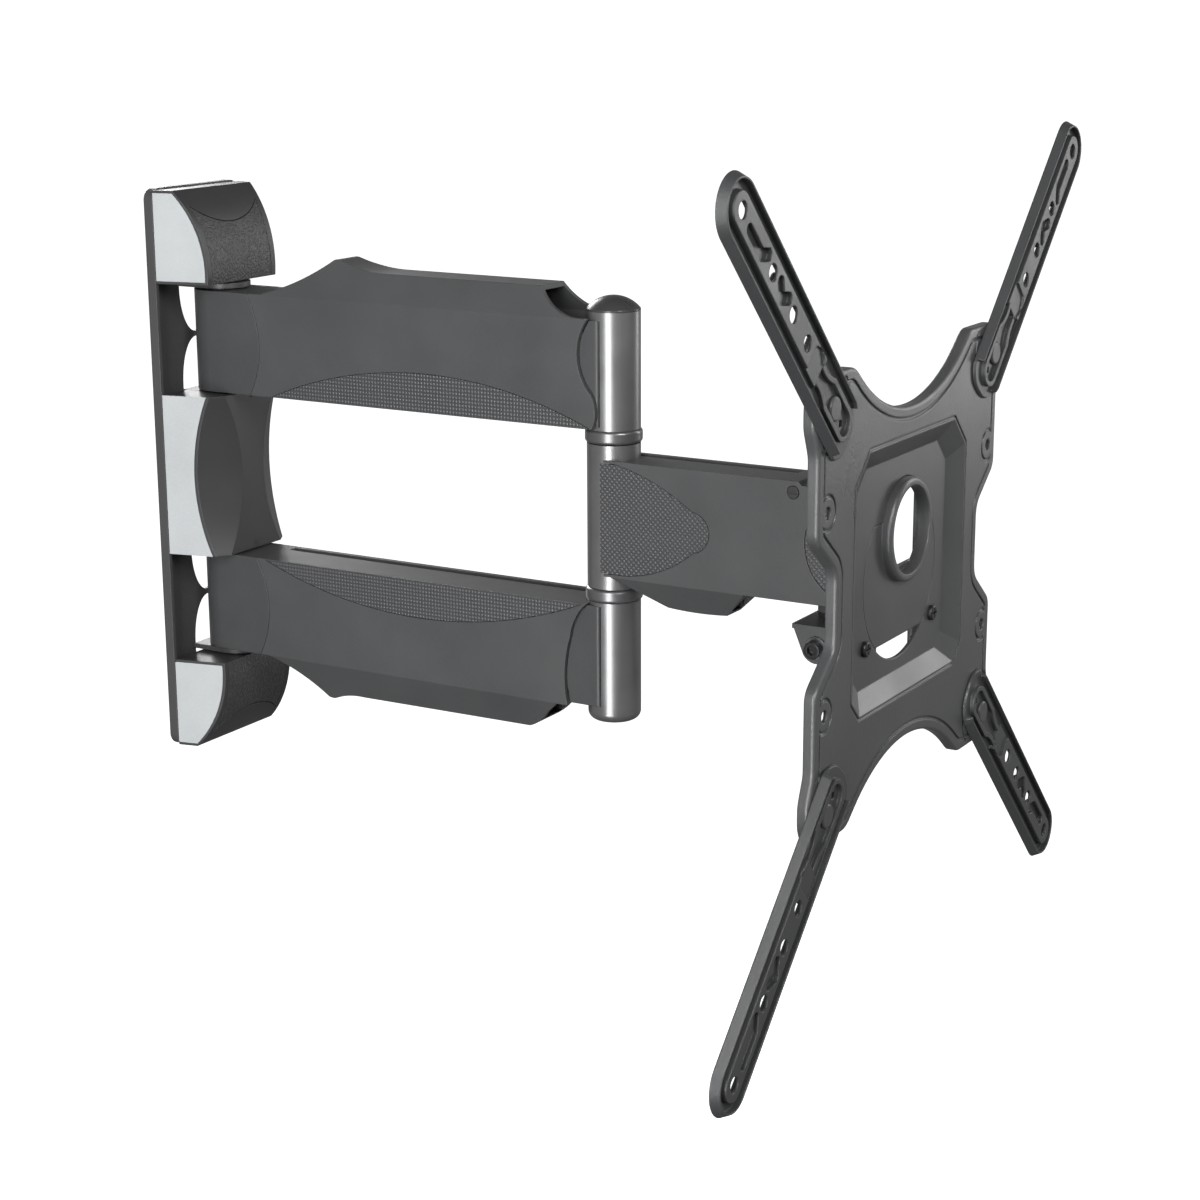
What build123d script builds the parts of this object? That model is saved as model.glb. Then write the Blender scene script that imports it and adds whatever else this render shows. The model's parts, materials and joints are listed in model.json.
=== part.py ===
"""Full motion TV wall mount: wall bracket, twin-bar arm, forearm, tilting VESA plate and four spider arms.

Frame: X is the width, Z is up and Y points into the wall. The origin is the centre of the wall plate's
back face, so the wall is the plane y = 0 and the mount reaches out along -Y. Sizes are in millimetres.
"""

import math
import os

from build123d import *

# ---- places of the joints and of the TV, as distances out from the wall
WALL_PIVOT_Y = -26.0
COLUMN_Y = -290.0
HEAD_Y = -426.0
TV_Y = -470.0
TILT_Z = -51.0
PLATE_Z = -12.5

# ---- wall bracket
PLATE_W, PLATE_H, PLATE_T, PLATE_DEPTH = 78.0, 334.0, 2.5, 7.0
WINDOW_LOW, WINDOW_HIGH = 47.5, 112.5
WINDOW_BRIDGE_Z = 79.0
COVER_TOP = 166.0
COVER_FRONT, COVER_SHOULDER = -39.0, -19.0
COVER_TAPER = 0.22
COVER_WALL = 2.2
TRIM_T, TRIM_INSET = 1.2, 1.6
PANEL_MARGIN = 4.0
STUD_HOLE_R, STUD_HOLE_Z = 4.5, 146.0
ANCHOR_HOLE_X, ANCHOR_HOLE_Z = 24.0, 130.0
LUG_T, LUG_R = 3.0, 15.0

# ---- arm pair
ARM_LOW, ARM_HIGH = 48.5, 107.5
ARM_HALF = 18.0
CORE_HALF = 14.7
COVER_SKIN = 2.6
WALL_BOLT_R, BOLT_HEAD_R = 5.0, 8.5
RIDGE_Z, RIDGE_ROOF_Z = 123.5, 132.0
RIDGE_HALF = 8.0
LEAF_T, LEAF_SEAM = 1.0, 0.35

# ---- column
COLUMN_R, AXLE_R = 14.7, 7.0
COLUMN_TOP, COLUMN_END = 111.0, -116.0
RING_LOW, RING_HIGH, RING_R = 40.0, 47.5, 15.7
RUN_CLEAR = 0.06

# ---- forearm
FORE_HALF, FORE_Z = 15.0, 32.0
FORE_CORE_HALF = 10.0
HEAD_R, HEAD_PIN_R = 13.0, 5.0
BARREL_LOW = -37.0

# ---- head and tilt
BRIDGE_TOP, BRIDGE_T = -39.5, 2.5
EAR_OUT, EAR_T = 28.0, 2.5
EAR_R = 8.5
TILT_BOLT_R = 3.0

# ---- VESA plate and its bracket
FACE_Y = -465.0
SHEET = 2.0
PAN_FLOOR_Y = -459.0
FLANGE_DEPTH = 6.0
BORDER, CREASE, EDGE_ROUND = 5.4, 1.7, 1.7
PIVOT = 100.0
EAR_HOLE_X, EAR_HOLE_Z, EAR_HOLE_R = 100.0, 50.0, 3.2
OPENING_R = 45.0
RING_CENTRE_X, RING_CENTRE_Z = 3.0, 22.0
RING_R_OUT, RING_R_IN = 27.0, 23.0
BASE_T = 2.5
SCREW_X, SCREW_Z = 42.0, -31.0

# ---- spider arms
SPIDER_HALF = 16.5
SPIDER_HOLES = (50.0, 50.0 * math.sqrt(2), 100.0, 100.0 * math.sqrt(2))
SPIDER_HOLE_R = 4.1
SPIDER_INNER = -25.0
BAND_HALF = 8.6
SPIDER_BACK_Y = -465.3
SPIDER_SHEET = 1.4
WALL_LEAN, WALL_TOP, RECESS = 26, 3.1, 2.6
RIVET_R = 4.0


def outline(*steps):
    """A closed face from corner points. A step of two points is an arc through the first to the second."""
    here, edges = steps[0], []
    for step in steps[1:]:
        if isinstance(step[0], tuple):
            edges.append(ThreePointArc(here, step[0], step[1]))
            here = step[1]
        else:
            edges.append(Line(here, step))
            here = step
    if here != steps[0]:
        edges.append(Line(here, steps[0]))
    return make_face(edges)


def along_x(face, low, high):
    """A face drawn in (y, z), made solid from x = low to x = high."""
    return Pos(low, 0, 0) * extrude(Plane.YZ * face, high - low)


def along_y(face, back, front):
    """A face drawn in (x, z), made solid from y = back out to y = front."""
    return Pos(0, back, 0) * extrude(Plane.XZ * face, back - front)


def along_z(face, low, high):
    """A face drawn in (x, y), made solid from z = low to z = high."""
    return Pos(0, 0, low) * extrude(face, high - low)


def box(x0, x1, y0, y1, z0, z1):
    return Pos((x0 + x1) / 2, (y0 + y1) / 2, (z0 + z1) / 2) * Box(x1 - x0, y1 - y0, z1 - z0)


def rod_z(x, y, r, low, high):
    return Pos(x, y, (low + high) / 2) * Cylinder(r, high - low)


def rod_y(x, z, r, back, front):
    return Pos(x, (back + front) / 2, z) * Rot(90, 0, 0) * Cylinder(r, abs(front - back))


def rod_x(y, z, r, low, high):
    return Pos((low + high) / 2, y, z) * Rot(0, 90, 0) * Cylinder(r, high - low)


def nut(across, height, bore):
    """A hexagon nut standing on the XY plane."""
    body = extrude(RegularPolygon(across / math.sqrt(3), 6), height)
    body = chamfer(body.edges().group_by(Axis.Z)[-1], 0.5)
    return body - Pos(0, 0, height / 2) * Cylinder(bore, height)


def washer(r_out, r_in, height):
    return Pos(0, 0, height / 2) * (Cylinder(r_out, height) - Cylinder(r_in, height))


def mirrored(shape, about):
    return mirror(shape, about=about)


def both_sides(shape):
    """A solid and its twin on the other side of the YZ plane, as separate solids."""
    return Compound([*shape.solids(), *mirrored(shape, Plane.YZ).solids()])


def save(shape, name):
    """Writes one node, keeping only its solids."""
    solids = shape.solids()
    export_step(Compound(solids) if len(solids) > 1 else solids[0], f"parts/{name}.step")


# ------------------------------------------------------------------ wall bracket


def window_openings():
    """Two U-shaped openings, one over and one under the thin bridge at the pivot's height."""
    half, rise, bridge = 13.5, 27.0, 3.0
    foot = WINDOW_BRIDGE_Z + bridge / 2
    bow = Pos(0, foot + rise) * (Ellipse(half, rise) - Pos(0, rise / 2) * Rectangle(2 * half, rise))
    upper = along_y(bow + Pos(0, foot + rise + 5) * Rectangle(2 * half, 10), 1, -9)
    return upper, mirrored(upper, Plane.XY.offset(WINDOW_BRIDGE_Z))


def wall_plate():
    """Pressed steel tray with rolled edges, lightening windows and holes for studs and anchors."""
    rim = RectangleRounded(PLATE_W, PLATE_H, 7)
    inside = RectangleRounded(PLATE_W - 2 * PLATE_T, PLATE_H - 2 * PLATE_T, 4.5)
    tray = along_y(rim, 0, -PLATE_DEPTH)
    tray = fillet(tray.faces().sort_by(Axis.Y)[-1].edges(), 1.6)
    tray -= along_y(inside, -PLATE_T, -PLATE_DEPTH - 1)
    for opening in window_openings():
        tray -= opening + mirrored(opening, Plane.XY)
    for z in (-STUD_HOLE_Z, STUD_HOLE_Z):
        tray -= rod_y(0, z, STUD_HOLE_R, 1, -PLATE_DEPTH)
    for x in (-ANCHOR_HOLE_X, ANCHOR_HOLE_X):
        for z in (-ANCHOR_HOLE_Z, ANCHOR_HOLE_Z):
            tray -= rod_y(x, z, STUD_HOLE_R, 1, -PLATE_DEPTH)
    return tray


def half_width(y):
    """Half the width of the covers at a depth y: they narrow towards the front."""
    return PLATE_W / 2 - 0.6 + COVER_TAPER * (y + PLATE_DEPTH)


def plan_wedge(inset):
    """The covers' plan, as a solid over the bracket's full height."""
    front = -50.0
    w0, w1 = half_width(-PLATE_DEPTH) - inset, half_width(front) - inset
    return along_z(outline((-w0, -PLATE_DEPTH), (-w1, front), (w1, front), (w0, -PLATE_DEPTH)), -200, 200)


def cap_profile(inset):
    """Side outline of the top cover: flat top, then a quarter round down to the window."""
    low, top = WINDOW_HIGH + inset, COVER_TOP - inset
    return outline(
        (-PLATE_DEPTH, low),
        (-PLATE_DEPTH, top),
        (COVER_SHOULDER, top),
        ((-33.3 + inset, 146.5 - 0.5 * inset), (COVER_FRONT + inset, low)),
    )


def cap_cover():
    """Top cover as shell, side trims and the textured front panel under a smooth flap."""
    solid = along_x(cap_profile(0), -60, 60) & plan_wedge(0)
    trims = (along_x(cap_profile(TRIM_INSET), -60, 60) & plan_wedge(0)) - plan_wedge(TRIM_T)
    trims = trims & box(-60, 60, -60, 0, WINDOW_HIGH, COVER_TOP - TRIM_INSET)
    panel_area = outline((-40, 110), (-40, 168.0), ((0, 147.0), (40, 168.0)), (40, 110))
    skin = along_x(cap_profile(0), -60, 60) - Pos(0, 0.9, -0.9) * along_x(cap_profile(0), -60, 60)
    groove = skin & along_y(panel_area, -10, -60) & plan_wedge(PANEL_MARGIN)
    panel = skin & along_y(offset(panel_area, -0.5), -10, -60) & plan_wedge(PANEL_MARGIN + 0.4)
    inner = along_x(cap_profile(COVER_WALL), -60, 60) & plan_wedge(COVER_WALL + TRIM_T)
    opening = box(-33, 33, -20, -PLATE_DEPTH + 1, WINDOW_HIGH + COVER_WALL, COVER_TOP - COVER_WALL)
    bolt_room = rod_z(0, WALL_PIVOT_Y, BOLT_HEAD_R + 0.7, WINDOW_HIGH - 1, WINDOW_HIGH + 5)
    shell = solid - inner - opening - trims - groove - bolt_room
    return shell, trims, panel


def middle_cover():
    """Middle cover: a box with a lens-shaped scoop taken from each front upright edge."""
    front, sag_r = -41.5, 163.0
    block = box(-60, 60, front, -PLATE_DEPTH, -WINDOW_LOW, WINDOW_LOW) & plan_wedge(0)
    turn = math.radians(31)
    point = (-half_width(-27), -27.0)
    centre = (point[0] - sag_r * math.sin(turn), point[1] - sag_r * math.cos(turn))
    scoop = Pos(*centre, 0) * Rot(0, 0, -31) * Rot(0, 90, 0) * Cylinder(sag_r, 300)
    scoops = scoop + mirrored(scoop, Plane.YZ)
    solid = block - scoops
    shrunk = box(-60, 60, front + COVER_WALL, -PLATE_DEPTH + 1, -WINDOW_LOW + 2, WINDOW_LOW - 2)
    inner = shrunk & plan_wedge(COVER_WALL + TRIM_T)
    inner -= Pos(0, 2.6, 0) * scoops
    trims = solid - plan_wedge(TRIM_T) - Pos(0, TRIM_INSET, 0) * scoops
    lug_room = along_z(lug_plan(0.4), -WINDOW_LOW - 1, WINDOW_LOW + 1)
    lug_room -= box(-40, 40, -60, 0, -WINDOW_LOW + 4, WINDOW_LOW - 4)
    return solid - inner - trims - lug_room, trims


def lug_plan(gap):
    """Plan of a lug, grown by a gap."""
    r = LUG_R + gap
    round_end = ((0, WALL_PIVOT_Y - r), (r, WALL_PIVOT_Y))
    return outline((-r, -PLATE_T), (-r, WALL_PIVOT_Y), round_end, (r, -PLATE_T))


def pivot_lugs():
    """Two lugs that hold one arm's barrel between them, welded into the wall plate."""
    plan = lug_plan(0)
    bore = rod_z(0, WALL_PIVOT_Y, WALL_BOLT_R + RUN_CLEAR, 0, 140)
    low = along_z(plan, ARM_LOW - 1 - LUG_T, ARM_LOW - 1) - bore
    high = along_z(plan, ARM_HIGH + 1, ARM_HIGH + 1 + LUG_T) - bore
    return Compound([low.solid(), high.solid()])


def build_wall_bracket():
    save(wall_plate(), "wall_plate")
    shell, trims, panel = cap_cover()
    save(shell, "top_cover")
    save(trims, "top_cover_trims")
    save(panel, "top_cover_panel")
    save(mirrored(shell, Plane.XY), "bottom_cover")
    save(mirrored(trims, Plane.XY), "bottom_cover_trims")
    save(mirrored(panel, Plane.XY), "bottom_cover_panel")
    shell, trims = middle_cover()
    save(shell, "middle_cover")
    save(trims, "middle_cover_trims")
    lugs = pivot_lugs()
    save(lugs, "upper_pivot_lugs")
    save(mirrored(lugs, Plane.XY), "lower_pivot_lugs")
    bolts, nuts, washers = [], [], []
    for flip in (False, True):
        head_at, nut_at = ARM_HIGH + 1 + LUG_T, ARM_LOW - 1 - LUG_T
        bolt = rod_z(0, WALL_PIVOT_Y, WALL_BOLT_R, nut_at - 9, head_at)
        bolt += rod_z(0, WALL_PIVOT_Y, BOLT_HEAD_R, head_at, head_at + 3)
        hex_nut = Pos(0, WALL_PIVOT_Y, nut_at - 8) * nut(17, 8, WALL_BOLT_R)
        disc = washer(13, WALL_BOLT_R + 0.1, 0.8)
        pair = [Pos(0, WALL_PIVOT_Y, z) * disc for z in (ARM_LOW - 0.9, ARM_HIGH + 0.1)]
        for group, solids in ((bolts, [bolt]), (nuts, [hex_nut]), (washers, pair)):
            for solid in solids:
                group.append((mirrored(solid, Plane.XY) if flip else solid).solid())
    save(Compound(bolts), "wall_pivot_bolts")
    save(Compound(nuts), "wall_pivot_nuts")
    save(Compound(washers), "wall_pivot_washers")


# ------------------------------------------------------------------ arm pair

def arm_side(upper):
    """Side outline of an arm's cover, from the barrel seam to the wavy seam at the column."""
    start = ((-56.0, ARM_LOW), ((-64.0, 78.0), (-56.0, ARM_HIGH)))
    if upper:
        return outline(
            *start, (-284.0, ARM_HIGH), ((-277.5, 88.0), (-283.5, 70.0)), ((-288.5, 60.0), (-286.5, ARM_LOW))
        )
    scoop = [(-270.0, ARM_HIGH), ((-268.5, 86.0), (-272.0, 68.0)), ((-276.0, 56.0), (-282.0, ARM_LOW))]
    return outline(*start, *scoop)


def ridge_side(upper):
    """Side outline of the raised cable channel: a hump near the wall, level, then cut away for the cable."""
    if upper:
        return outline(
            (-64.0, ARM_HIGH - 6), (-64.0, ARM_HIGH), ((-92.0, 117.0), (-113.0, 129.0)),
            ((-115.5, 129.5), (-118.5, 128.9)), ((-132.0, 125.2), (-150.0, RIDGE_Z)), (-252.0, RIDGE_Z - 0.5),
            ((-262.0, 112.5), (-278.0, ARM_HIGH)), (-278.0, ARM_HIGH - 6),
        )
    return outline(
        (-62.0, ARM_HIGH - 6), (-62.0, ARM_HIGH),
        ((-83.0, 117.0), (-99.0, 129.8)), ((-101.5, 130.4), (-105.0, 129.8)),
        ((-114.0, 127.0), (-126.0, 126.2)), (-241.0, 125.5), ((-249.0, 121.0), (-255.0, 114.5)),
        (-263.0, ARM_HIGH), (-263.0, ARM_HIGH - 6),
    )


def ridge_section(inset):
    """Cross-section of the raised channel in (x, z), a roof over the arm's full thickness."""
    peak = RIDGE_ROOF_Z - inset
    return outline(
        (-ARM_HALF + inset, ARM_HIGH - 8),
        (-ARM_HALF + inset, ARM_HIGH - 0.2),
        (-RIDGE_HALF + inset / 2, peak),
        (RIDGE_HALF - inset / 2, peak),
        (ARM_HALF - inset, ARM_HIGH - 0.2),
        (ARM_HALF - inset, ARM_HIGH - 8),
    )


def leaf_side(upper, grow):
    """The textured leaf along the arm's inner edge."""
    near, far = (-72.0, -285.0) if upper else (-62.0, -279.0)
    near, far = near - 3 * grow, far + 3 * grow
    return outline(
        (near, ARM_LOW - 1), (near, ARM_LOW + 0.6), (((near + far) / 2, 70.5 - grow), (far, ARM_LOW + 0.6)),
        (far, ARM_LOW - 1),
    )


def arm_cover(upper):
    """An arm's cover: a sleeve round the beam with the cable channel on its outer edge."""
    sleeve = along_x(arm_side(upper), -ARM_HALF, ARM_HALF)
    roof = along_x(ridge_side(upper), -30, 30) & along_y(ridge_section(0), -40, -300)
    body = sleeve + roof
    duct = along_y(ridge_section(COVER_SKIN), -118, -300) & along_x(
        outline((-118.0, ARM_HIGH - 4), (-118.0, 121.0), (-300.0, 120.4), (-300.0, ARM_HIGH - 4)), -30, 30
    )
    inner = ARM_HALF - COVER_SKIN
    hollow = box(-inner, inner, -300, -50, ARM_LOW + COVER_SKIN, ARM_HIGH - 2.5)
    throat = box(-11, 11, -274, -150, ARM_HIGH - 4, ARM_HIGH - 1)
    return body - duct - hollow - throat - rod_z(0, COLUMN_Y, COLUMN_R + 0.3, 0, 150)


def arm_leaves(upper):
    """The two textured trims let into the cover's faces."""
    side = along_x(leaf_side(upper, LEAF_SEAM), -ARM_HALF - 5, ARM_HALF + 5)
    side = side & box(-ARM_HALF + 0.1, ARM_HALF - 0.1, -300, -50, ARM_LOW, ARM_HIGH)
    return side - box(-ARM_HALF + LEAF_T, ARM_HALF - LEAF_T, -300, -50, 0, 150)


def leaf_pockets(upper):
    side = along_x(leaf_side(upper, 0), -ARM_HALF - 5, ARM_HALF + 5)
    return side - box(-ARM_HALF + LEAF_T, ARM_HALF - LEAF_T, -300, -50, 0, 150)


def arm_core(upper):
    """Steel core: barrel at the wall, beam, and the shoe that is welded round the column."""
    barrel = rod_z(0, WALL_PIVOT_Y, ARM_HALF, ARM_LOW, ARM_HIGH)
    neck_side = outline(
        (WALL_PIVOT_Y, ARM_LOW), (-55.7, ARM_LOW), ((-63.7, 78.0), (-55.7, ARM_HIGH)),
        (WALL_PIVOT_Y, ARM_HIGH)
    )
    neck = along_x(neck_side, -ARM_HALF, ARM_HALF)
    beam = box(-13, 13, COLUMN_Y, -50, ARM_LOW + 5, ARM_HIGH - 8)
    beam_hollow = box(-9, 9, -255, -75, ARM_LOW + 9, ARM_HIGH - 12)
    shoe = box(-CORE_HALF, CORE_HALF, COLUMN_Y, -262, ARM_LOW + 1, ARM_HIGH - 1)
    shoe -= Pos(0, -0.25, 0) * along_x(arm_side(upper), -ARM_HALF, ARM_HALF)
    shoe += box(-CORE_HALF, CORE_HALF, COLUMN_Y, -262, ARM_LOW + 3, ARM_HIGH - 8)
    core = barrel + neck + beam + shoe - beam_hollow
    core -= rod_z(0, WALL_PIVOT_Y, 8.0, ARM_LOW - 1, ARM_HIGH + 1)
    return core - rod_z(0, COLUMN_Y, COLUMN_R, 0, 150)


def cover_slot():
    """Long cable slot in the inner face of the lower arm, along the far edge."""
    return box(8.2, 14.2, -279, -60, ARM_LOW - 1, ARM_LOW + COVER_SKIN + 1)


def build_arm_pair():
    save(arm_core(True), "upper_arm_core")
    save(arm_cover(True) - leaf_pockets(True), "upper_arm_cover")
    save(arm_leaves(True), "upper_arm_leaf_trims")
    save(mirrored(arm_core(False), Plane.XY), "lower_arm_core")
    save(mirrored(arm_cover(False) - leaf_pockets(False) - cover_slot(), Plane.XY), "lower_arm_cover")
    save(mirrored(arm_leaves(False), Plane.XY), "lower_arm_leaf_trims")
    bushes = []
    for z0, z1 in ((ARM_LOW, ARM_LOW + 14), (ARM_HIGH - 14, ARM_HIGH)):
        bush = rod_z(0, WALL_PIVOT_Y, 8.0, z0, z1) - rod_z(0, WALL_PIVOT_Y, WALL_BOLT_R + RUN_CLEAR, z0, z1)
        bushes += [bush.solid(), mirrored(bush, Plane.XY).solid()]
    save(Compound(bushes), "wall_pivot_bushes")
    bore = rod_z(0, COLUMN_Y, AXLE_R, -150, 150)
    save(rod_z(0, COLUMN_Y, COLUMN_R, RING_HIGH, COLUMN_TOP) - bore, "upper_column")
    lower = rod_z(0, COLUMN_Y, COLUMN_R, COLUMN_END, -RING_HIGH)
    lower = fillet(lower.edges().sort_by(Axis.Z)[0], 5.0)
    counterbore = rod_z(0, COLUMN_Y, 11.0, COLUMN_END - 1, COLUMN_END + 12)
    save(lower - bore - counterbore, "lower_column")
    rings = []
    for z0, z1 in ((RING_LOW, RING_HIGH), (-RING_HIGH, -RING_LOW)):
        ring = rod_z(0, COLUMN_Y, RING_R, z0, z1)
        ring = fillet(ring.edges(), 2.0) - bore
        rings.append(ring.solid())
    save(Compound(rings), "column_rings")
    dome_r = 19.0
    cap = rod_z(0, COLUMN_Y, COLUMN_R, COLUMN_TOP, COLUMN_TOP + 8)
    cap = cap & Pos(0, COLUMN_Y, COLUMN_TOP + 8 - dome_r) * Sphere(dome_r)
    save(cap, "column_cap")
    axle = rod_z(0, COLUMN_Y, AXLE_R, COLUMN_END + 2, COLUMN_TOP - 0.5)
    save(axle, "column_axle")
    save(Pos(0, COLUMN_Y, COLUMN_END + 3) * nut(17.5, 9, AXLE_R), "column_nut")


# ------------------------------------------------------------------ forearm


def fore_side():
    return outline((COLUMN_Y - 2, -FORE_Z), (COLUMN_Y - 2, FORE_Z), (-408.0, FORE_Z), (-410.0, FORE_Z - 2),
                   (-440.0, FORE_Z - 2), (-440.0, -FORE_Z))


def fore_channel():
    """Side outline of the cable channel under the forearm."""
    return outline(
        (-297.0, -FORE_Z + 5), (-297.0, -FORE_Z - 0.5), (-328.0, -46.5), ((-346.0, -47.5), (-364.0, -46.5)),
        (-377.0, -FORE_Z - 0.5), (-377.0, -FORE_Z + 5),
    )


def fore_leaf(seam):
    """Fan at the column end of the forearm's face."""
    return outline(
        (-280.0, 30.5 - seam), (-299.0, 30.5 - seam), ((-330.0, 19.5 - seam), (-346.0, 9.5 - seam)),
        ((-356.5 + seam, -1.0), (-347.0, -13.0 + seam)), ((-330.0, -24.0 + seam), (-303.0, -30.5 + seam)),
        (-280.0, -30.5 + seam),
    )


def head_leaf(seam):
    """Round-edged textured area at the head end of the forearm's face."""
    arc = ((-412.0 - seam, 0.0), (-431.0, -28.0 + seam))
    return outline((-431.0, 28.0 - seam), arc, (-450.0, -28.0 + seam),
                   (-450.0, 28.0 - seam))


def rounded_end(low, high):
    """The plan shape that the forearm keeps within: straight sides and a round head end."""
    return box(-30, 30, HEAD_Y, COLUMN_Y, low, high) + rod_z(0, HEAD_Y, FORE_HALF, low, high)


def build_forearm():
    bore = rod_z(0, COLUMN_Y, 9.5, -60, 60)
    tube = rod_z(0, COLUMN_Y, COLUMN_R, -RING_LOW + 0.3, RING_LOW - 0.3) - bore
    save(tube, "forearm_column_tube")
    bushes = []
    for z0, z1 in ((-RING_LOW + 0.3, -RING_LOW + 18), (RING_LOW - 18, RING_LOW - 0.3)):
        ring = rod_z(0, COLUMN_Y, 9.5, z0, z1) - rod_z(0, COLUMN_Y, AXLE_R + RUN_CLEAR, z0, z1)
        bushes.append(ring.solid())
    save(Compound(bushes), "column_bushes")

    barrel = rod_z(0, HEAD_Y, HEAD_R - 1.5, BARREL_LOW, FORE_Z + 1)
    beam = box(-FORE_CORE_HALF, FORE_CORE_HALF, HEAD_Y, COLUMN_Y, -FORE_Z + 4, FORE_Z - 4)
    core = beam + barrel - box(-6, 6, -405, -315, -FORE_Z + 9, FORE_Z - 9)
    core -= rod_z(0, HEAD_Y, 7.0, -60, 60)
    save(core - rod_z(0, COLUMN_Y, COLUMN_R, -60, 60), "forearm_core")

    outer = along_x(fore_side(), -FORE_HALF, FORE_HALF) & rounded_end(-60, 60)
    section = outline((-FORE_HALF, -FORE_Z + 6), (-FORE_HALF, -FORE_Z),
                      (-7, -48), (7, -48), (FORE_HALF, -FORE_Z),
                      (FORE_HALF, -FORE_Z + 6))
    channel = along_x(fore_channel(), -30, 30) & along_y(section, -290, -400)
    cover = outer + channel
    cavity = box(-FORE_HALF + COVER_SKIN, FORE_HALF - COVER_SKIN, -500, -200, -FORE_Z + 2.6, FORE_Z - 2.6)
    duct = along_y(outline((-9, -29), (-5, -44.6), (5, -44.6), (9, -29)), -330, -400)
    duct = duct & box(-20, 20, -372, -330, -60, 0)
    mouth = box(-8, 8, -380, -366, -44.2, -33)
    slot = box(5.5, 11.5, -398, -300, FORE_Z - 4, FORE_Z + 1)
    end_bore = rod_z(0, HEAD_Y, HEAD_R, -60, 60)
    cover = cover - cavity - duct - mouth - slot - end_bore - rod_z(0, COLUMN_Y, COLUMN_R, -60, 60)
    middle = box(-FORE_HALF + LEAF_T, FORE_HALF - LEAF_T, -470, -270, -70, 70)
    slab = box(-30, 30, -460, -280, -60, 60) - middle
    thin = box(-FORE_HALF + 0.1, FORE_HALF - 0.1, -HEAD_R + HEAD_Y + 3, -280, -60, 60)
    for seam, target in ((0.0, "pocket"), (LEAF_SEAM, "trims")):
        leaves = along_x(fore_leaf(seam), -30, 30) + along_x(head_leaf(seam), -30, 30)
        leaves = leaves & slab & rounded_end(-60, 60)
        if target == "pocket":
            pockets = leaves & box(-30, 30, HEAD_Y, -280, -60, 60)
        else:
            trims = leaves & thin & box(-30, 30, HEAD_Y + LEAF_SEAM, -280, -60, 60)
    plug_bore = rod_x(-405.0, 26.0, 3.6, -30, 30)
    recess = plug_bore - box(-FORE_HALF + 1.0, FORE_HALF - 1.0, -460, -280, -60, 60)
    cover = cover - pockets - recess
    save(cover, "forearm_cover")
    save(trims - rod_z(0, COLUMN_Y, COLUMN_R, -60, 60), "forearm_leaf_trims")
    plug = rod_x(-405.0, 26.0, 3.3, -FORE_HALF - 0.4, -FORE_HALF + 1.0)
    plug = plug - box(-FORE_HALF - 1, -FORE_HALF - 0.1, -410, -400, 25.4, 26.6)
    save(both_sides(plug), "forearm_screw_caps")
    bushes = []
    for z0, z1 in ((BARREL_LOW, BARREL_LOW + 14), (FORE_Z - 13, FORE_Z + 1)):
        ring = rod_z(0, HEAD_Y, 7.0, z0, z1) - rod_z(0, HEAD_Y, HEAD_PIN_R + RUN_CLEAR, z0, z1)
        bushes.append(ring.solid())
    save(Compound(bushes), "head_bushes")


# ------------------------------------------------------------------ head


def build_head():
    low = BRIDGE_TOP - BRIDGE_T
    bridge = box(-EAR_OUT, EAR_OUT, HEAD_Y - 12, HEAD_Y + 14, low, BRIDGE_TOP)
    ear = along_x(
        outline(
            (HEAD_Y + 14, BRIDGE_TOP), (HEAD_Y + 7.4, TILT_Z - 4.3),
            ((HEAD_Y, TILT_Z - EAR_R), (HEAD_Y - 7.8, TILT_Z - 3.4)),
            (HEAD_Y - 12, BRIDGE_TOP),
        ),
        -EAR_OUT, -EAR_OUT + EAR_T,
    )
    bracket = bridge + ear + mirrored(ear, Plane.YZ)
    bracket -= rod_x(HEAD_Y, TILT_Z, TILT_BOLT_R + 0.05, -40, 40) + rod_z(0, HEAD_Y, HEAD_PIN_R, -60, 0)
    save(bracket, "swivel_bracket")
    top = FORE_Z + 1
    pin = rod_z(0, HEAD_Y, HEAD_PIN_R, low - 1.5, top + 8.5)
    pin += rod_z(0, HEAD_Y, 8.0, low - 1.5, low)
    save(pin, "head_pivot_pin")
    washers = [
        Pos(0, HEAD_Y, BRIDGE_TOP) * washer(11.5, HEAD_PIN_R + 0.1, BARREL_LOW - BRIDGE_TOP - 0.1),
        Pos(0, HEAD_Y, top + 0.1) * washer(10.0, HEAD_PIN_R + 0.1, 1.5),
    ]
    save(Compound([w.solid() for w in washers]), "head_pivot_washers")
    save(Pos(0, HEAD_Y, top + 1.6) * nut(15, 6, HEAD_PIN_R), "head_pivot_nut")
    bolt = rod_x(HEAD_Y, TILT_Z, TILT_BOLT_R, -EAR_OUT - 1.2, EAR_OUT + 8)
    head = rod_x(HEAD_Y, TILT_Z, 4.6, -EAR_OUT - 6.2, -EAR_OUT - 1.2)
    head = fillet(head.edges().sort_by(Axis.X)[0], 0.6)
    socket = Pos(-EAR_OUT - 6.2, HEAD_Y, TILT_Z) * Rot(0, 90, 0) * extrude(RegularPolygon(2.6, 6), 3)
    save(bolt + head - socket, "tilt_bolt")
    save(Pos(EAR_OUT + 1.2, HEAD_Y, TILT_Z) * Rot(0, 90, 0) * nut(10, 6, TILT_BOLT_R), "tilt_nut")
    rings = []
    for x, r_out, height in ((-EAR_OUT - 1.2, 6.2, 1.2), (EAR_OUT, 6.2, 1.2)):
        ring = Pos(x, HEAD_Y, TILT_Z) * Rot(0, 90, 0) * washer(r_out, TILT_BOLT_R + 0.05, height)
        rings.append(ring.solid())
    save(Compound(rings), "tilt_washers")


# ------------------------------------------------------------------ VESA plate


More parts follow.
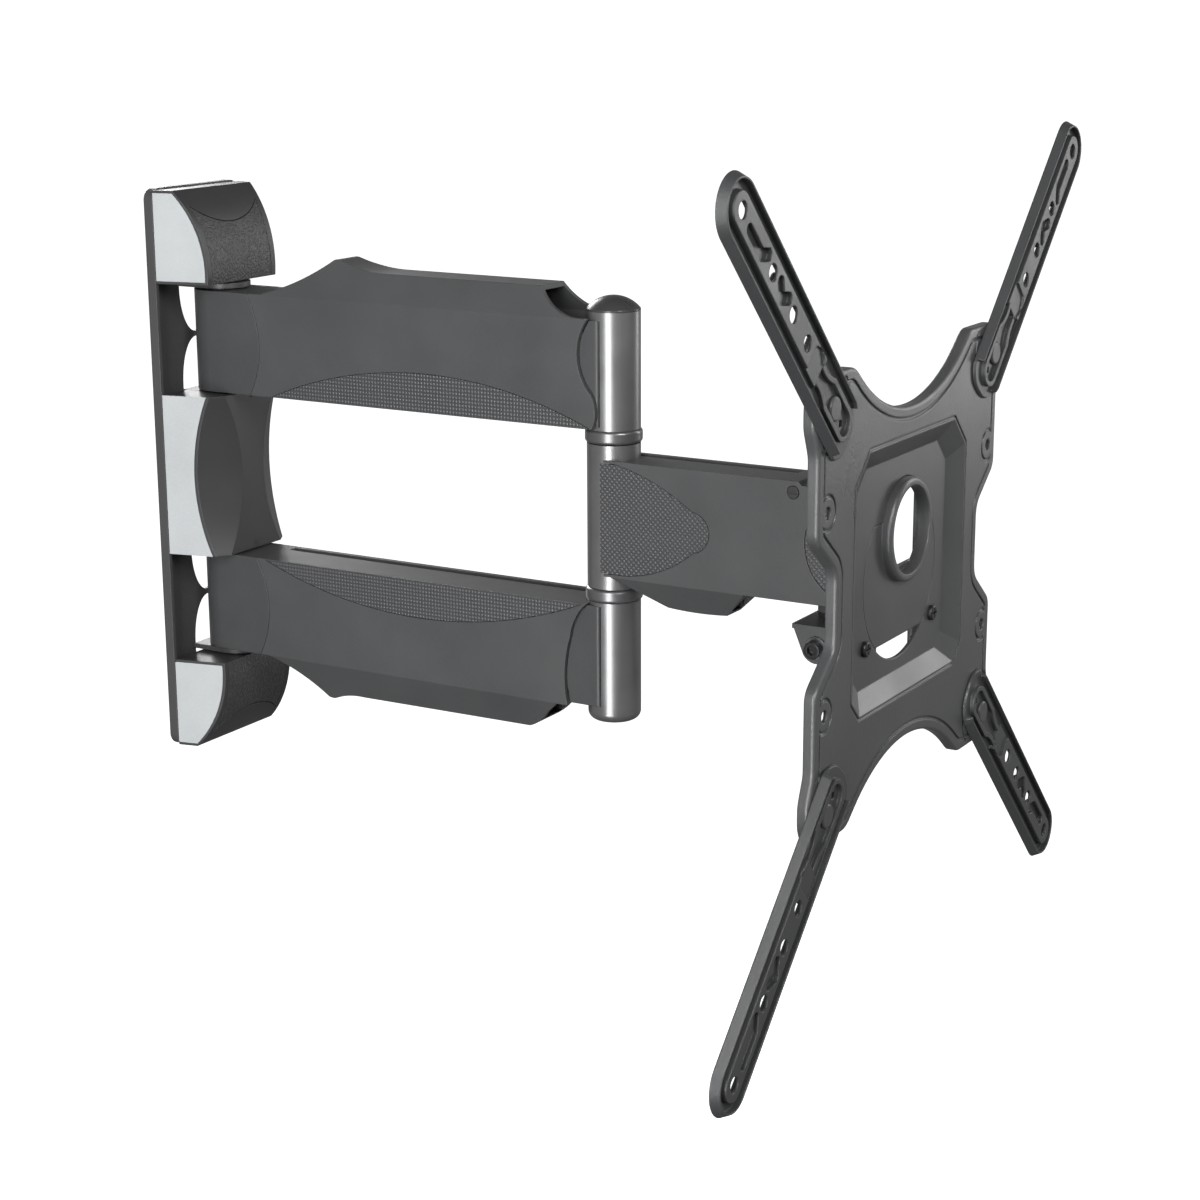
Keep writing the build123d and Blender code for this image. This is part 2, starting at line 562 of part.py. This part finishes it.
def plate_outline():
    """Outline with lobes round the arm pivots, ears below them, a waist at each side, dips top and bottom."""
    dip = (62.0, 187.0 - math.sqrt(100.0**2 - 62.0**2))
    corners = [(71.5, 116, 14), (116, 116, 16), (116, 92, 14)]
    corners += [(110.5, 78, 14), (110.5, 37, 10), (88.2, 19, 12)]
    right = [(x, z) for x, z, _ in corners] + [(x, -z) for x, z, _ in reversed(corners)]
    left = [(-x, z) for x, z in reversed(right)]
    low_dip = ((0.0, -87.0), (-dip[0], -dip[1]))
    face = outline(dip, *right, (dip[0], -dip[1]), low_dip, *left, (-dip[0], dip[1]), ((0.0, 87.0), dip))
    for x, z, r in corners:
        at_corner = [v for v in face.vertices() if math.dist((abs(v.X), abs(v.Y)), (x, z)) < 0.01]
        face = fillet(at_corner, r)
    return face


def pan_outline(half_w, low, high, cut):
    """The dished panel's outline: a rectangle with its upper corners cut and its lower corners softer."""
    soft = cut * 0.6
    return outline(
        (-half_w + soft, low), (-half_w, low + soft), (-half_w, high - cut), (-half_w + cut, high),
        (half_w - cut, high), (half_w, high - cut), (half_w, low + soft), (half_w - soft, low),
    )


def frustum(y_back, y_front, back_face, front_face):
    """A loft between two faces drawn in (x, z)."""
    ends = [Pos(0, y, 0) * (Plane.XZ * f) for y, f in ((y_back, back_face), (y_front, front_face))]
    return loft([e.face() for e in ends])


def vesa_plate():
    """Pressed plate: returned edges, a dished panel with a low opening, and pads at the arm pivots."""
    face = plate_outline()
    body = along_y(face, FACE_Y + FLANGE_DEPTH, FACE_Y)
    body = fillet(body.faces().sort_by(Axis.Y)[0].outer_wire().edges(), EDGE_ROUND)
    body -= along_y(offset(face, -SHEET, kind=Kind.INTERSECTION), FACE_Y + FLANGE_DEPTH + 1, FACE_Y + SHEET)
    crease_out, crease_in = offset(face, -BORDER), offset(face, -BORDER - CREASE)
    for sx in (-1, 1):
        for sz in (-1, 1):
            ear = Pos(sx * EAR_HOLE_X, sz * EAR_HOLE_Z)
            crease_out -= ear * Circle(7.5)
            crease_in -= ear * Circle(7.5 + CREASE)
    body -= along_y(crease_out - crease_in, FACE_Y + 0.9, FACE_Y - 1)
    rim, floor = pan_outline(68, -61, 71, 15), pan_outline(56, -52, 61, 12)
    front = frustum(PAN_FLOOR_Y, FACE_Y, floor, rim)
    back = frustum(PAN_FLOOR_Y + SHEET, FACE_Y + SHEET, offset(floor, SHEET), offset(rim, SHEET))
    plate = body + back - front
    lip = offset(rim, 2.2) - offset(rim, 0.9)
    plate -= along_y(lip, FACE_Y + 0.7, FACE_Y - 1)
    opening = along_y(Circle(OPENING_R), PAN_FLOOR_Y + 9, PAN_FLOOR_Y - 1)
    plate -= opening - box(-60, 60, -500, -400, 30, 60)
    plate -= rod_y(RING_CENTRE_X, RING_CENTRE_Z, RING_R_OUT + 0.3, PAN_FLOOR_Y + 9, PAN_FLOOR_Y - 1)
    for sx in (-1, 1):
        for sz in (-1, 1):
            plate -= rod_y(sx * EAR_HOLE_X, sz * EAR_HOLE_Z, EAR_HOLE_R, -450, -480)
            plate -= rod_y(sx * PIVOT, sz * PIVOT, RIVET_R, -450, -480)
            ring = Pos(sx * PIVOT, sz * PIVOT) * (Circle(22.5) - Circle(20.5)) & offset(face, -3)
            plate -= along_y(ring, FACE_Y + 0.8, FACE_Y - 1)
        plate -= rod_y(sx * SCREW_X, SCREW_Z, 2.6, -450, -480)
    return Pos(0, 0, PLATE_Z) * plate


def tilt_bracket():
    """Bracket behind the plate: a base with a cable window in a raised ring, and two ears."""
    back, front = PAN_FLOOR_Y + SHEET + BASE_T, PAN_FLOOR_Y + SHEET
    base = box(-50, 50, front, back, -47, 53)
    disc = rod_y(0, 0, OPENING_R - 0.3, front, PAN_FLOOR_Y) - box(-60, 60, -500, -400, 29.7, 60)
    disc -= box(-60, 60, -500, -400, -60, -34)
    ring_at = (RING_CENTRE_X, RING_CENTRE_Z)
    collar = rod_y(*ring_at, RING_R_OUT, front, PAN_FLOOR_Y - 5.0)
    collar = fillet(collar.faces().sort_by(Axis.Y)[0].edges(), 1.8)
    hole = rod_y(*ring_at, RING_R_IN, -440, -480)
    window = box(-20, 26, front - 1, back + 1, 2, 43)
    notch = box(-22.5, 22.5, -480, -440, -60, -34)
    body = base - window + (disc + collar - hole) - notch
    for x in (-SCREW_X, SCREW_X):
        body -= rod_y(x, SCREW_Z, 2.1, -440, -480)
    bolt_z = TILT_Z - PLATE_Z
    ear_side = outline(
        (back, bolt_z + 30), (back, bolt_z + 4), (HEAD_Y - 15, bolt_z - 6.0),
        ((HEAD_Y, bolt_z - 8.0), (HEAD_Y + 7.5, bolt_z)),
        ((HEAD_Y + 4.4, bolt_z + 6), (HEAD_Y, bolt_z + 7.0)),
        (HEAD_Y - 18, bolt_z + 7.0), (HEAD_Y - 22, bolt_z + 24),
    )
    ear = along_x(ear_side, EAR_OUT - 2 * EAR_T - 0.5, EAR_OUT - EAR_T - 0.5)
    ears = ear + mirrored(ear, Plane.YZ)
    ears -= rod_x(HEAD_Y, bolt_z, TILT_BOLT_R + RUN_CLEAR, -40, 40)
    return Pos(0, 0, PLATE_Z) * (body + ears)


def build_tv_plate():
    save(vesa_plate(), "vesa_plate")
    save(tilt_bracket(), "tilt_bracket")
    screws = []
    for x in (-SCREW_X, SCREW_X):
        shank = rod_y(x, SCREW_Z + PLATE_Z, 2.1, PAN_FLOOR_Y + 7, PAN_FLOOR_Y)
        head = rod_y(x, SCREW_Z + PLATE_Z, 4.2, PAN_FLOOR_Y, PAN_FLOOR_Y - 2.4)
        head = fillet(head.edges().sort_by(Axis.Y)[0], 1.2)
        z = SCREW_Z + PLATE_Z
        front, bottom = PAN_FLOOR_Y - 3, PAN_FLOOR_Y - 1.2
        cross = box(x - 2.6, x + 2.6, front, bottom, z - 0.5, z + 0.5)
        cross += box(x - 0.5, x + 0.5, front, bottom, z - 2.6, z + 2.6)
        screws.append((shank + head - cross).solid())
    save(Compound(screws), "plate_screws")
    rivets = []
    floor_y = SPIDER_BACK_Y - SPIDER_SHEET
    for sx in (-1, 1):
        for sz in (-1, 1):
            x, z = sx * PIVOT, sz * PIVOT + PLATE_Z
            plate_back = FACE_Y + SHEET
            shank = rod_y(x, z, RIVET_R, plate_back + 1.2, floor_y - 0.1)
            tail = rod_y(x, z, 6.5, plate_back, plate_back + 1.2)
            dome = rod_y(x, z, 6.2, floor_y - 0.1, floor_y - 1.7)
            dome = fillet(dome.edges().sort_by(Axis.Y)[0], 1.2)
            rivets.append((shank + tail + dome).solid())
    save(Compound(rivets), "arm_rivets")


# ------------------------------------------------------------------ spider arms


def stadium(half, near, far):
    """A round-ended bar along +X, from x = near to x = far, where far is the tip's outer edge."""
    return outline(
        (near, -half), (far - half, -half), ((far, 0), (far - half, half)), (near, half),
    )


def bead_path(points, half):
    """A round-ended groove of constant width along a few points, standing on the XY plane."""
    bead = None
    for a, b in zip(points, points[1:]):
        length, angle = math.dist(a, b), math.degrees(math.atan2(b[1] - a[1], b[0] - a[0]))
        middle = Pos((a[0] + b[0]) / 2, (a[1] + b[1]) / 2)
        leg = middle * Rot(0, 0, angle) * SlotOverall(length + 2 * half, 2 * half)
        bead = leg if bead is None else bead + leg
    return bead


def spider_arm():
    """One pressed arm along +X from its pivot at the origin, its TV side up, its back on z = 0."""
    height = SPIDER_BACK_Y - TV_Y
    tip = SPIDER_HOLES[-1] + SPIDER_HALF
    floor = outline(
        (SPIDER_INNER + 12, -SPIDER_HALF), (tip - SPIDER_HALF, -SPIDER_HALF),
        ((tip, 0), (tip - SPIDER_HALF, SPIDER_HALF)), (SPIDER_INNER + 6, SPIDER_HALF),
        ((SPIDER_INNER, 10), (SPIDER_INNER - 1, 0)),
        ((SPIDER_INNER + 2, -10), (SPIDER_INNER + 12, -SPIDER_HALF)),
    )
    body = extrude(floor, height, taper=WALL_LEAN)
    inside = offset(floor, -WALL_TOP)
    body -= Pos(0, 0, SPIDER_SHEET) * extrude(inside, height)
    open_end = box(SPIDER_INNER - 10, SPIDER_INNER + 9, -30, 30, SPIDER_SHEET, 20)
    body -= open_end
    band_start, band_tip = 27.0, SPIDER_HOLES[-1] + BAND_HALF + 1.0
    body += extrude(stadium(BAND_HALF, band_start, band_tip), height, taper=12)
    hollow = extrude(stadium(BAND_HALF - 1.3, 45.0, band_tip - 1.3), height - SPIDER_SHEET, taper=12)
    loop_out = outline(
        (-11, -9), (12, -9), ((20, -6), (27, -6)), (34, -6), (34, 6), (27, 6), ((20, 6), (12, 9)), (-11, 9),
        ((-20, 0), (-11, -9)),
    )
    loop_in = Pos(0, 0, SPIDER_SHEET) * extrude(offset(loop_out, -2.6), 9)
    body += extrude(loop_out, SPIDER_SHEET + 2.2) - loop_in
    for r in SPIDER_HOLES:
        body -= Pos(r, 0, height / 2) * Cylinder(SPIDER_HOLE_R, height + 2)
    far, mid = SPIDER_HOLES[3], SPIDER_HOLES[2]
    long_recess = [(far - 11, 1.6), (mid + 14, 1.6), (mid + 9, -2.6)]
    short_recess = [(mid - 9, -2.0), (mid - 15, 2.4), (mid - 20.5, -2.0)]
    for recess in (long_recess, short_recess):
        hollow -= Pos(0, 0, height - RECESS - 1.3) * extrude(bead_path(recess, 4.2), 6)
    body -= hollow
    for recess in (long_recess, short_recess):
        body -= Pos(0, 0, height - RECESS) * extrude(bead_path(recess, 3.1), 4)
    tail = outline((8, -3), (26, -0.5), ((44, 0), (26, 3.5)), ((16, 1), (8, 4)))
    body -= Pos(0, 0, height - 1.2) * extrude(tail & Rectangle(84, 40), 4)
    body -= Cylinder(RIVET_R + RUN_CLEAR, 20)
    diamond = Rot(0, 0, 45) * Rectangle(3.4, 3.4)
    body -= Pos(-11.5, 0, 0) * extrude(diamond, 10)
    return body


def build_spider_arms():
    arm = spider_arm()
    for side, sx in (("left", -1), ("right", 1)):
        for level, sz in (("upper", 1), ("lower", -1)):
            angle = math.degrees(math.atan2(sz, sx))
            pivot = Pos(sx * PIVOT, SPIDER_BACK_Y, sz * PIVOT + PLATE_Z)
            placed = pivot * Rot(0, -angle, 0) * Rot(90, 0, 0) * arm
            save(placed, f"spider_arm_{level}_{side}")


os.makedirs("parts", exist_ok=True)
build_wall_bracket()
build_arm_pair()
build_forearm()
build_head()
build_tv_plate()
build_spider_arms()
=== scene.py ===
"""Materials, studio light and camera for the full motion TV wall mount."""

import json
import math

import bpy
from mathutils import Euler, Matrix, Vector

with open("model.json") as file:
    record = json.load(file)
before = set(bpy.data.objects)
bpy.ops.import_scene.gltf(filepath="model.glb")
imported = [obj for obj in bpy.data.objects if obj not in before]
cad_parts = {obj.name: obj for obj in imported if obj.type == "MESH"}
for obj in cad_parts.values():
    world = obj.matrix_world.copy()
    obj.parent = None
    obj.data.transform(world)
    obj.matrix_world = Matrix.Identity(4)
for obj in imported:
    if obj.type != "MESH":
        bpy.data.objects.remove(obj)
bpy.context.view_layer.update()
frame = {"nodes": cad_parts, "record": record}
nodes = frame["nodes"]


# ---------------------------------------------------------------- materials


# Cosines between the surface and the rounded normal: flat surface, and the middle of an edge.
FLAT_COSINE, EDGE_COSINE = 0.995, 0.86
# Range of noise values that the cloudy variations use.
CLOUD_LOW, CLOUD_HIGH = 0.3, 0.7


class Shader:
    """A Principled material with helpers that add and join nodes."""

    def __init__(self, name, colour, rough, metallic=0.0):
        self.material = bpy.data.materials.new(name)
        self.material.use_nodes = True
        self.tree = self.material.node_tree
        self.bsdf = self.tree.nodes["Principled BSDF"]
        self.bsdf.inputs["Base Color"].default_value = (*colour, 1.0)
        self.bsdf.inputs["Roughness"].default_value = rough
        self.bsdf.inputs["Metallic"].default_value = metallic
        self.place = self.add("ShaderNodeTexCoord").outputs["Object"]
        self.normal = None

    def add(self, kind, **values):
        node = self.tree.nodes.new(kind)
        for key, value in values.items():
            if key in node.inputs:
                node.inputs[key].default_value = value
            else:
                setattr(node, key, value)
        return node

    def join(self, out, into):
        self.tree.links.new(out, into)

    def noise(self, scale, detail=3.0, rough=0.55):
        texture = self.add("ShaderNodeTexNoise", Scale=scale, Detail=detail, Roughness=rough)
        self.join(self.place, texture.inputs["Vector"])
        return texture.outputs["Fac"]

    def curve(self, value, low, high, to_low, to_high):
        node = self.add("ShaderNodeMapRange")
        node.inputs["From Min"].default_value = low
        node.inputs["From Max"].default_value = high
        node.inputs["To Min"].default_value = to_low
        node.inputs["To Max"].default_value = to_high
        self.join(value, node.inputs["Value"])
        return node.outputs["Result"]

    def vary(self, noise, to_low, to_high):
        """Spreads a cloudy noise over the given range."""
        return self.curve(noise, CLOUD_LOW, CLOUD_HIGH, to_low, to_high)

    def math(self, operation, a, b):
        node = self.add("ShaderNodeMath", operation=operation)
        for socket, value in zip(node.inputs, (a, b)):
            if isinstance(value, (int, float)):
                socket.default_value = value
            else:
                self.join(value, socket)
        return node.outputs[0]

    def mix(self, factor, a, b):
        node = self.add("ShaderNodeMix", data_type="RGBA")
        self.join(factor, node.inputs["Factor"])
        for socket, value in ((node.inputs[6], a), (node.inputs[7], b)):
            if isinstance(value, tuple):
                socket.default_value = (*value, 1.0)
            else:
                self.join(value, socket)
        return node.outputs[2]

    def bump(self, height, distance):
        node = self.add("ShaderNodeBump", Distance=distance)
        self.join(height, node.inputs["Height"])
        if self.normal is not None:
            self.join(self.normal, node.inputs["Normal"])
        self.normal = node.outputs["Normal"]

    def rounded(self, radius):
        """Softens the look of sharp edges and returns a mask that is 1 along them."""
        bevel = self.add("ShaderNodeBevel", samples=4)
        bevel.inputs["Radius"].default_value = radius
        geometry = self.add("ShaderNodeNewGeometry")
        dot = self.add("ShaderNodeVectorMath", operation="DOT_PRODUCT")
        self.join(bevel.outputs["Normal"], dot.inputs[0])
        self.join(geometry.outputs["Normal"], dot.inputs[1])
        self.normal = bevel.outputs["Normal"]
        return self.curve(dot.outputs["Value"], FLAT_COSINE, EDGE_COSINE, 0.0, 1.0)

    def done(self, colour=None, rough=None):
        if colour is not None:
            self.join(colour, self.bsdf.inputs["Base Color"])
        if rough is not None:
            self.join(rough, self.bsdf.inputs["Roughness"])
        if self.normal is not None:
            self.join(self.normal, self.bsdf.inputs["Normal"])
        return self.material


def scaled(colour, k):
    return tuple(min(1.0, c * k) for c in colour)


def coated(name, colour, rough, grain=900.0, depth=0.00006, worn_edge_and_highlight=1.45, radius=0.0007, sheen=0.35):
    """Painted or moulded surface: fine grain, cloudy gloss, a little dust in the colour, and lighter edges
    that are partly worn coat and partly a painted edge highlight.
    """
    s = Shader(name, colour, rough)
    s.bsdf.inputs["Specular IOR Level"].default_value = sheen
    edge = s.rounded(radius)
    cloud = s.noise(22.0, 4.0)
    fine = s.noise(grain, 2.0)
    tone = s.mix(s.vary(cloud, 0.0, 1.0), scaled(colour, 0.93), scaled(colour, 1.07))
    speck = s.mix(s.curve(fine, 0.35, 0.75, 0.0, 0.35), tone, scaled(colour, 1.25))
    # Lighter edges: worn coat in patches, plus a painted highlight along every edge.
    patchy_worn_and_highlit_edge = s.math("MULTIPLY", edge, s.curve(cloud, 0.35, 0.65, 0.35, 0.9))
    worn_and_highlit_colour = s.mix(patchy_worn_and_highlit_edge, speck, scaled(colour, worn_edge_and_highlight))
    s.bump(fine, depth)
    return s.done(worn_and_highlit_colour, s.vary(cloud, rough - 0.06, rough + 0.06))


def dotted(name, colour, rough, pitch, depth, turn=0.0, radius=0.0005):
    """Moulded plastic with a close grid of small raised dots on the faces that look sideways along X."""
    s = Shader(name, colour, rough)
    edge = s.rounded(radius)
    mapping = s.add("ShaderNodeMapping")
    mapping.inputs["Rotation"].default_value = (math.radians(turn), 0, 0)
    mapping.inputs["Scale"].default_value = (0.0, 1.0, 1.0)
    s.join(s.place, mapping.inputs["Vector"])
    cells = s.add("ShaderNodeTexVoronoi", Scale=1.0 / pitch, Randomness=0.0)
    s.join(mapping.outputs["Vector"], cells.inputs["Vector"])
    dots = s.curve(cells.outputs["Distance"], 0.20, 0.46, 1.0, 0.0)
    fine = s.noise(1400.0, 2.0)
    # Painted shade between the raised dots and a painted highlight on their tops.
    tone = s.mix(dots, scaled(colour, 0.70), scaled(colour, 1.12))
    # Lighter along every edge: a painted edge highlight.
    tone = s.mix(edge, tone, scaled(colour, 1.35))
    s.bump(dots, depth)
    s.bump(fine, 0.00003)
    return s.done(tone, s.vary(s.noise(30.0), rough - 0.05, rough + 0.07))


def pebbled(name, colour, rough, pitch, depth, radius=0.0005):
    """Moulded plastic with an irregular leather grain."""
    s = Shader(name, colour, rough)
    edge = s.rounded(radius)
    cells = s.add("ShaderNodeTexVoronoi", Scale=1.0 / pitch, Randomness=1.0)
    s.join(s.place, cells.inputs["Vector"])
    pebbles = s.curve(cells.outputs["Distance"], 0.15, 0.65, 1.0, 0.0)
    # Painted shade in the crevices of the grain and a painted highlight on the pebble tops.
    tone = s.mix(pebbles, scaled(colour, 0.72), scaled(colour, 1.22))
    # Lighter along every edge: a painted edge highlight.
    tone = s.mix(edge, tone, scaled(colour, 1.35))
    s.bump(pebbles, depth)
    return s.done(tone, s.vary(s.noise(30.0), rough - 0.05, rough + 0.07))


def metal(name, colour, rough, radius=0.0004):
    """Plated metal with a fine grain and uneven gloss."""
    s = Shader(name, colour, rough, 1.0)
    edge = s.rounded(radius)
    grain = s.noise(700.0, 3.0, 0.6)
    cloud = s.noise(60.0, 3.0)
    tone = s.mix(s.vary(cloud, 0.0, 1.0), scaled(colour, 0.85), scaled(colour, 1.1))
    # Lighter along every edge: a painted edge highlight.
    tone = s.mix(edge, tone, scaled(colour, 1.3))
    s.bump(grain, 0.00002)
    return s.done(tone, s.vary(grain, rough - 0.05, rough + 0.08))


def lacquered(name, colour, rough):
    """Glossy dark coat over steel, with a faint orange-peel ripple."""
    s = Shader(name, colour, rough, 0.7)
    s.bsdf.inputs["Coat Weight"].default_value = 0.2
    s.bsdf.inputs["Coat Roughness"].default_value = 0.18
    ripple = s.noise(90.0, 2.0)
    cloud = s.noise(25.0, 3.0)
    tone = s.mix(s.vary(cloud, 0.0, 1.0), scaled(colour, 0.9), scaled(colour, 1.12))
    s.bump(ripple, 0.000008)
    return s.done(tone, s.vary(cloud, rough - 0.04, rough + 0.06))


looks = {
    "wall_steel": coated("wall_steel_coat", (0.040, 0.040, 0.041), 0.42),
    "cover_plastic": coated("cover_plastic_skin", (0.026, 0.026, 0.027), 0.38, 1500.0, 0.00005),
    # Light grey here is a painted reflection: the bright light mirrored in the glossy dark side panels.
    "silver_trim": coated("side_trim_painted_reflection", (0.29, 0.303, 0.308), 0.36, 1200.0, 0.00002, 1.1, 0.0004),
    "textured_panel": pebbled("panel_grain", (0.030, 0.030, 0.031), 0.4, 0.0016, 0.0002),
    "arm_plastic": coated("arm_plastic_skin", (0.041, 0.042, 0.043), 0.42, 1300.0, 0.00006),
    "arm_steel": coated("arm_steel_coat", (0.036, 0.037, 0.038), 0.40),
    "leaf_texture": dotted("leaf_dots", (0.041, 0.042, 0.044), 0.42, 0.0021, 0.0002),
    "column_gloss": lacquered("column_lacquer", (0.150, 0.151, 0.154), 0.30),
    "ring_plastic": lacquered("ring_lacquer", (0.120, 0.121, 0.124), 0.30),
    "cap_plastic": coated("cap_skin", (0.028, 0.028, 0.029), 0.30, 1500.0, 0.00003),
    # Plate and spider arms: a wider and brighter painted edge highlight on top of the worn edges.
    "plate_steel": coated("plate_coat", (0.042, 0.043, 0.044), 0.33, radius=0.0012, worn_edge_and_highlight=1.7, sheen=0.6),
    "spider_steel": coated("spider_coat", (0.031, 0.032, 0.033), 0.36, radius=0.0009, worn_edge_and_highlight=1.8, sheen=0.5),
    "rivet_steel": coated("rivet_coat", (0.045, 0.045, 0.046), 0.34),
    "zinc_steel": metal("zinc_plate", (0.11, 0.11, 0.115), 0.34),
    "black_steel": coated("black_oxide", (0.010, 0.010, 0.011), 0.34, 1500.0, 0.00003),
    "nylon": coated("black_nylon", (0.012, 0.012, 0.012), 0.5, 1500.0, 0.00003),
}
slot_of = {part["node"]: part["material_slot"] for part in frame["record"]["subparts"]}
for name, node in nodes.items():
    node.data.materials.clear()
    node.data.materials.append(looks[slot_of[name]])
fan_mesh = dotted("fan_mesh", (0.046, 0.047, 0.049), 0.42, 0.0021, 0.0003, turn=45.0)
nodes["forearm_leaf_trims"].data.materials[0] = fan_mesh


# ---------------------------------------------------------------- stage, light and camera


ROOM_HALF, FLOOR_LEVEL, CEILING_LEVEL = 40.0, -1.5, 30.0
HORIZON_LIGHT, OVERHEAD_LIGHT = 0.36, 0.10


def stage_room():
    """A wide pale floor well below the mount, with far walls and a ceiling in the same paint."""
    side, low, high = ROOM_HALF, FLOOR_LEVEL, CEILING_LEVEL
    mesh = bpy.data.meshes.new("studio_room")
    rim = [(-side, -side), (side, -side), (side, side), (-side, side)]
    corners = [(x, y, z) for z in (low, high) for x, y in rim]
    walls = [(i, (i + 1) % 4, (i + 1) % 4 + 4, i + 4) for i in range(4)]
    mesh.from_pydata(corners, [], [(0, 1, 2, 3), (7, 6, 5, 4), *walls])
    room = bpy.data.objects.new("studio_room", mesh)
    bpy.context.scene.collection.objects.link(room)
    s = Shader("studio_paint", (0.93, 0.93, 0.93), 0.9)
    s.bsdf.inputs["Emission Color"].default_value = (1.0, 1.0, 1.0, 1.0)
    s.bsdf.inputs["Emission Strength"].default_value = 1.0
    room.data.materials.append(s.done())
    room.visible_diffuse = False
    room.visible_glossy = False
    room.visible_shadow = False


def softbox(name, place, target, width, height, power):
    """A rectangular lamp aimed at a point. The camera doesn't see the lamp itself."""
    lamp = bpy.data.lights.new(name, "AREA")
    lamp.shape = "RECTANGLE"
    lamp.size, lamp.size_y = width, height
    lamp.energy = power
    light = bpy.data.objects.new(name, lamp)
    light.location = place
    light.rotation_euler = (Vector(target) - Vector(place)).to_track_quat("-Z", "Y").to_euler()
    light.visible_camera = False
    bpy.context.scene.collection.objects.link(light)


def soft_world():
    """Plain white light that is stronger from the sides than from above and below."""
    world = bpy.data.worlds.new("studio")
    world.use_nodes = True
    tree = world.node_tree
    direction = tree.nodes.new("ShaderNodeTexCoord")
    parts = tree.nodes.new("ShaderNodeSeparateXYZ")
    height = tree.nodes.new("ShaderNodeMath")
    height.operation = "ABSOLUTE"
    band = tree.nodes.new("ShaderNodeMapRange")
    band.inputs["From Max"].default_value = 0.8
    band.inputs["To Min"].default_value = HORIZON_LIGHT
    band.inputs["To Max"].default_value = OVERHEAD_LIGHT
    tree.links.new(direction.outputs["Generated"], parts.inputs["Vector"])
    tree.links.new(parts.outputs["Z"], height.inputs[0])
    tree.links.new(height.outputs["Value"], band.inputs["Value"])
    tree.links.new(band.outputs["Result"], tree.nodes["Background"].inputs["Strength"])
    tree.nodes["Background"].inputs["Color"].default_value = (1.0, 1.0, 1.0, 1.0)
    bpy.context.scene.world = world


def lamps():
    """Four softboxes: the main one on the mount's left, then the front, the plate's face and the rear."""
    middle = (0.0, -0.25, 0.0)
    softbox("side_softbox", (-2.0, -0.55, 0.1), middle, 0.7, 2.4, 76.0)
    softbox("front_softbox", (-0.9, -1.9, 1.1), (0.0, -0.45, 0.0), 0.9, 0.9, 40.0)
    softbox("plate_softbox", (1.7, -1.35, 0.5), (0.0, -0.46, 0.0), 0.5, 1.6, 11.0)
    softbox("rear_softbox", (1.3, 1.7, 0.9), middle, 1.0, 1.0, 34.0)


def photo_camera():
    lens = bpy.data.cameras.new("photo_camera")
    lens.sensor_fit = "HORIZONTAL"
    lens.sensor_width = 36.0
    lens.lens = 73.0
    lens.clip_start, lens.clip_end = 0.02, 800.0
    camera = bpy.data.objects.new("photo_camera", lens)
    camera.location = (-1.119, -0.943, 0.282)
    camera.rotation_euler = Euler([math.radians(a) for a in (75.68, 0.26, -59.45)], "XYZ")
    bpy.context.scene.collection.objects.link(camera)
    bpy.context.scene.camera = camera


stage_room()
soft_world()
lamps()
photo_camera()
bpy.context.scene.view_settings.view_transform = "Standard"
bpy.context.scene.view_settings.look = "None"
bpy.context.view_layer.update()
